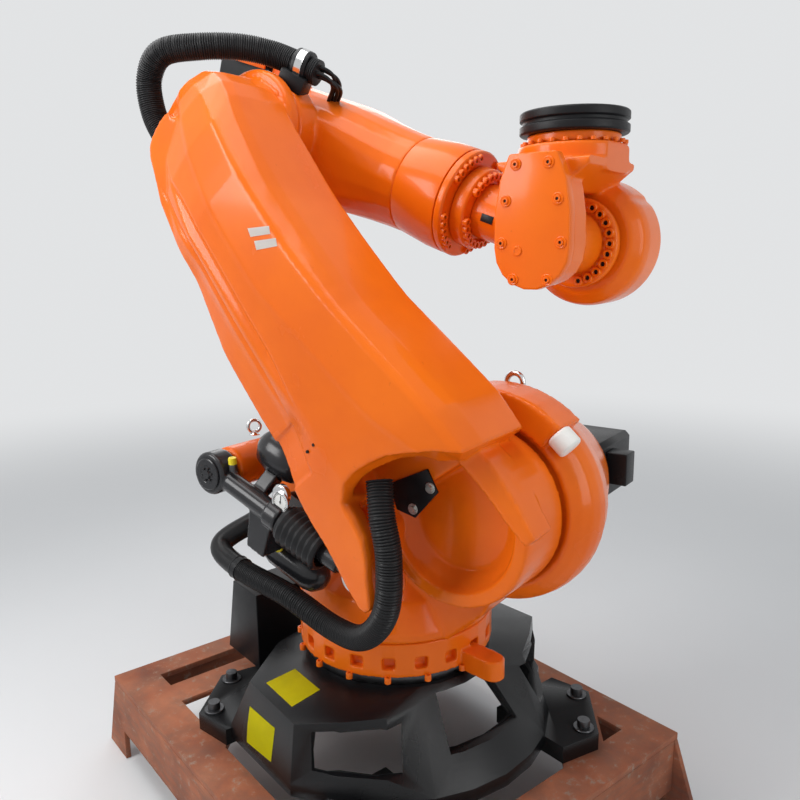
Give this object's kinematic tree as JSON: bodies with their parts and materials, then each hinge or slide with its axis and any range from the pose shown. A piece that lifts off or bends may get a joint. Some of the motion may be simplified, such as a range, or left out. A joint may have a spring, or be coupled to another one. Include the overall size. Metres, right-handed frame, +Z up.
{
  "type": "industrial robot arm",
  "caption": "Large orange six-axis factory robot arm on a black cast base, with a side-mounted link arm, weight-balancing cylinder, ribbed hoses and a low welded steel stand.",
  "frame": {"origin": "on the floor, under the middle of the whole machine's bounding box", "axes": "+Z up, +X from the connection box towards the front of the stand, +Y to the machine's left"},
  "size_m": [1.9758, 1.428, 2.7915],
  "materials": {
    "orange_enamel": "glossy orange machine enamel on cast aluminium and iron",
    "black_enamel": "semi-gloss black machine paint with a fine texture",
    "stand_primer": "dull rust-red primer with scuffs",
    "bare_steel": "plain machined steel",
    "hose_rubber": "black ribbed hose and rubber",
    "white_buffer": "off-white stop buffer"
  },
  "bodies": {
    "base": {"stand_top_plate": "stand_primer", "stand_side_left": "stand_primer", "stand_side_right": "stand_primer", "stand_rear_beam": "stand_primer", "stand_front_beam": "stand_primer", "base_casting": "black_enamel", "connection_box": "black_enamel", "connection_box_door": "black_enamel", "axis_1_bearing": "bare_steel"},
    "column": {"column_crown": "orange_enamel", "column_casting": "orange_enamel", "column_buffer": "white_buffer", "axis_1_gear_unit": "bare_steel", "axis_1_motor": "black_enamel", "axis_2_motor": "black_enamel", "axis_2_motor_plug": "black_enamel", "hose_lower": "hose_rubber"},
    "cylinder": {"counterbalance_cylinder": "black_enamel", "front_tank": "black_enamel", "rear_tank": "black_enamel", "counterbalance_gauge": "bare_steel"},
    "rod": {"counterbalance_rod": "bare_steel", "counterbalance_bellows": "hose_rubber"},
    "link_arm": {"link_arm": "orange_enamel", "cable_plate": "black_enamel", "hose_upper": "hose_rubber"},
    "upper_arm": {"upper_arm_casting": "orange_enamel", "upper_arm_tube": "orange_enamel", "upper_arm_flange": "orange_enamel", "axis_4_motor": "black_enamel", "axis_5_motor": "black_enamel", "axis_6_motor": "black_enamel", "motor_guard": "orange_enamel"},
    "wrist_roll": {"wrist_roll_flange": "orange_enamel", "wrist_neck": "orange_enamel"},
    "wrist_pitch": {"wrist_fork": "orange_enamel", "wrist_cover": "orange_enamel", "wrist_drum_cover": "orange_enamel"},
    "tool_flange": {"tool_ring": "orange_enamel", "tool_disc": "black_enamel"}
  },
  "joints": [
    {"name": "axis_1_turn", "type": "hinge", "parent": "base", "child": "column", "pos_m": [0.11712, 0, 0.35], "axis": [0, 0, 1], "range_deg": [-199.5, 170.5]},
    {"name": "axis_2_link", "type": "hinge", "parent": "column", "child": "link_arm", "pos_m": [0.61088, 0.12769, 1.35], "axis": [-0.2504, 0.9681, 0], "range_deg": [-3.98, 146.02], "deforming": ["hose_lower"]},
    {"name": "axis_3_upper", "type": "hinge", "parent": "link_arm", "child": "upper_arm", "pos_m": [-0.16911, -0.07403, 2.45807], "axis": [0.2504, -0.9681, 0], "range_deg": [-4.44, 239.56], "deforming": ["hose_upper"]},
    {"name": "axis_4_roll", "type": "hinge", "parent": "upper_arm", "child": "wrist_roll", "pos_m": [-0.18207, -0.07737, 2.42038], "axis": [0.9124, 0.236, -0.3345], "range_deg": [-350, 350]},
    {"name": "axis_5_pitch", "type": "hinge", "parent": "wrist_roll", "child": "wrist_pitch", "pos_m": [0.73489, 0.15976, 2.08424], "axis": [-0.2504, 0.9681, 0], "range_deg": [-10.46, 229.54]},
    {"name": "axis_6_flange", "type": "hinge", "parent": "wrist_pitch", "child": "tool_flange", "pos_m": [0.73489, 0.15976, 2.08424], "axis": [0, 0, 1], "range_deg": [-350, 350]},
    {"name": "cylinder_swing", "type": "hinge", "parent": "column", "child": "cylinder", "pos_m": [-0.08976, -0.56995, 1.372], "axis": [-0.2504, 0.9681, 0], "range_deg": [-36.9, 1.1]},
    {"name": "rod_stroke", "type": "slide", "parent": "cylinder", "child": "rod", "axis": [0.9086, 0.235, -0.3453], "range_m": [-0.012, 0.3845], "deforming": ["counterbalance_bellows"]}
  ],
  "couplings": [
    {"joint": "cylinder_swing", "follows": "axis_2_link", "ratio": -0.252},
    {"joint": "rod_stroke", "follows": "axis_2_link", "m_per_rad": 0.1505}
  ]
}
